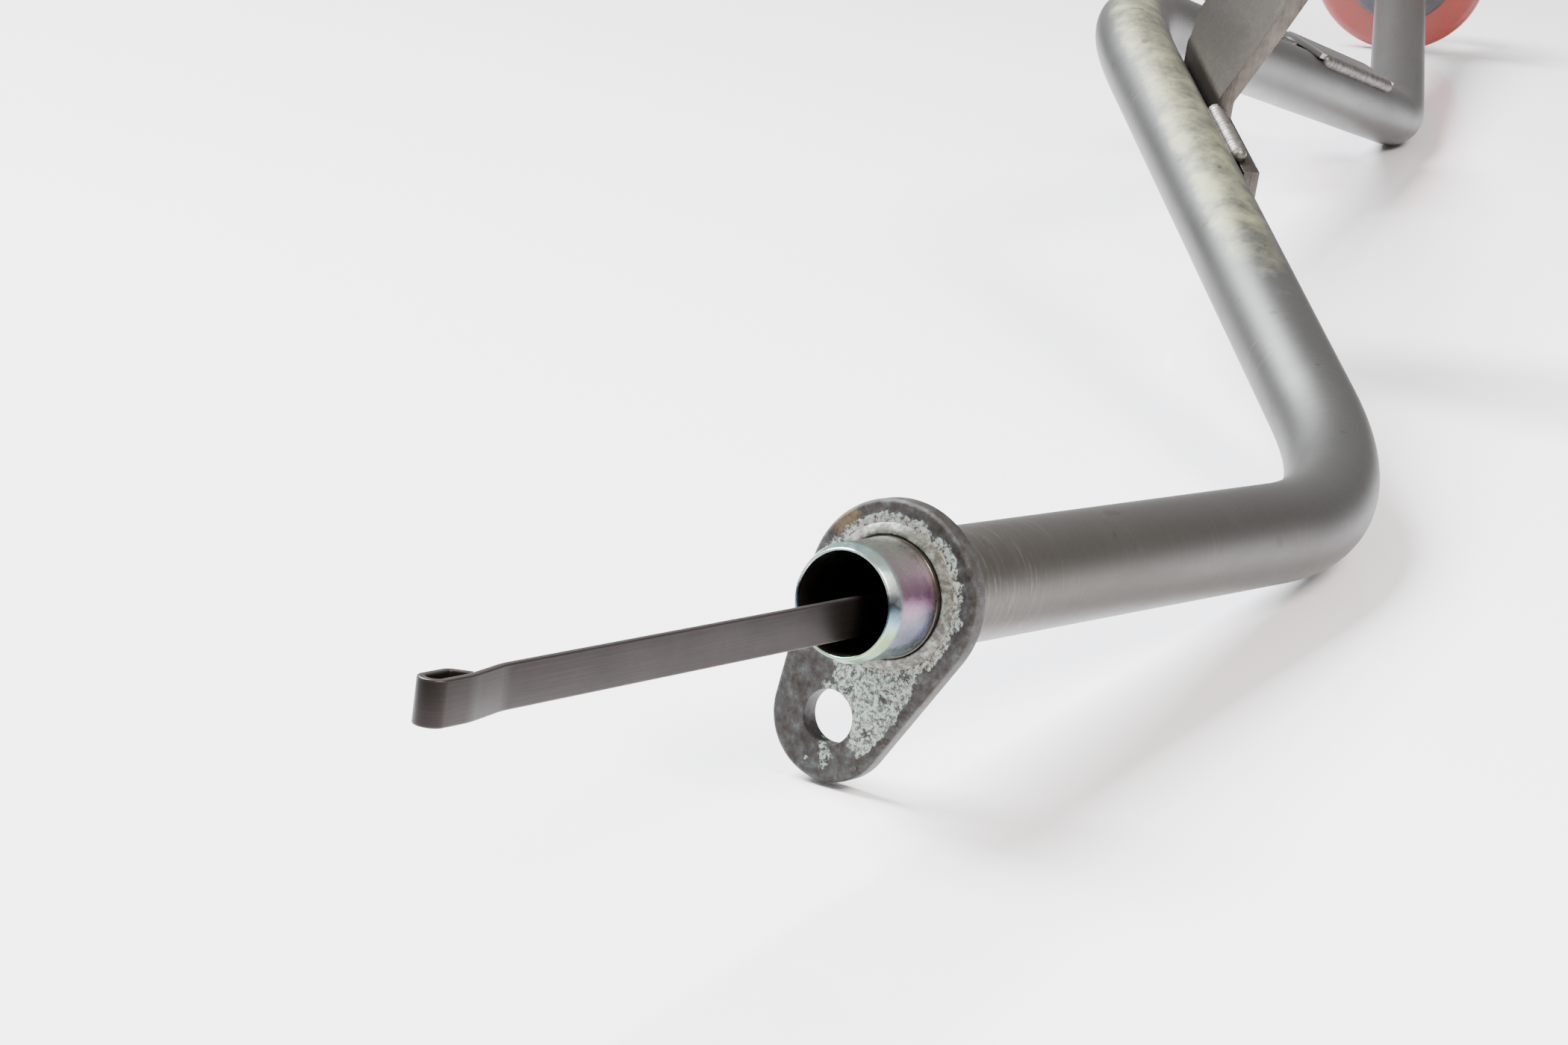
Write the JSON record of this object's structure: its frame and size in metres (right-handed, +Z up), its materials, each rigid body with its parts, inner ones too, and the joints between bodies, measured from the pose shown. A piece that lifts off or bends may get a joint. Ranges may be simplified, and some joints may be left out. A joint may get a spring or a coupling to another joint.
{
  "type": "engine oil dipstick",
  "caption": "Bent steel guide tube with a bolted flange and spigot at the engine end, welded brackets, and a flat dipstick blade on a pull-ring handle that plugs its top.",
  "frame": {"origin": "tube axis at the flange's engine-side face", "axes": "+Z up from the surface that the part lies on, +Y along its length from the flange towards the handle"},
  "size_m": [0.243, 0.8187, 0.1067],
  "materials": {
    "zinc_tube": "zinc-plated steel tube, dulled and scuffed",
    "flange_steel": "punched plate, dark, with white corrosion",
    "braze": "dull brazing and weld round the flange",
    "dark_steel": "oiled steel strip with a polished fold",
    "plated_sheet": "pale zinc-plated sheet",
    "weld_bead": "dull weld beads",
    "yellow_chromate": "yellow-passivated zinc",
    "spring_steel": "blued and browned spring-steel strip",
    "pin_steel": "bright steel pin",
    "black_rubber": "matt black rubber",
    "red_plastic": "moulded red nylon, half matt"
  },
  "bodies": {
    "root": {"guide_tube": "zinc_tube", "engine_flange": "flange_steel", "flange_braze": "braze", "support_bracket": "dark_steel", "support_weld": "weld_bead", "upper_bracket": "plated_sheet", "upper_weld": "weld_bead", "weld_nut": "yellow_chromate", "dipstick_blade": "spring_steel", "blade_pin": "pin_steel", "seal_cap": "black_rubber", "handle": "red_plastic", "sealing_rings": "black_rubber"}
  },
  "joints": []
}
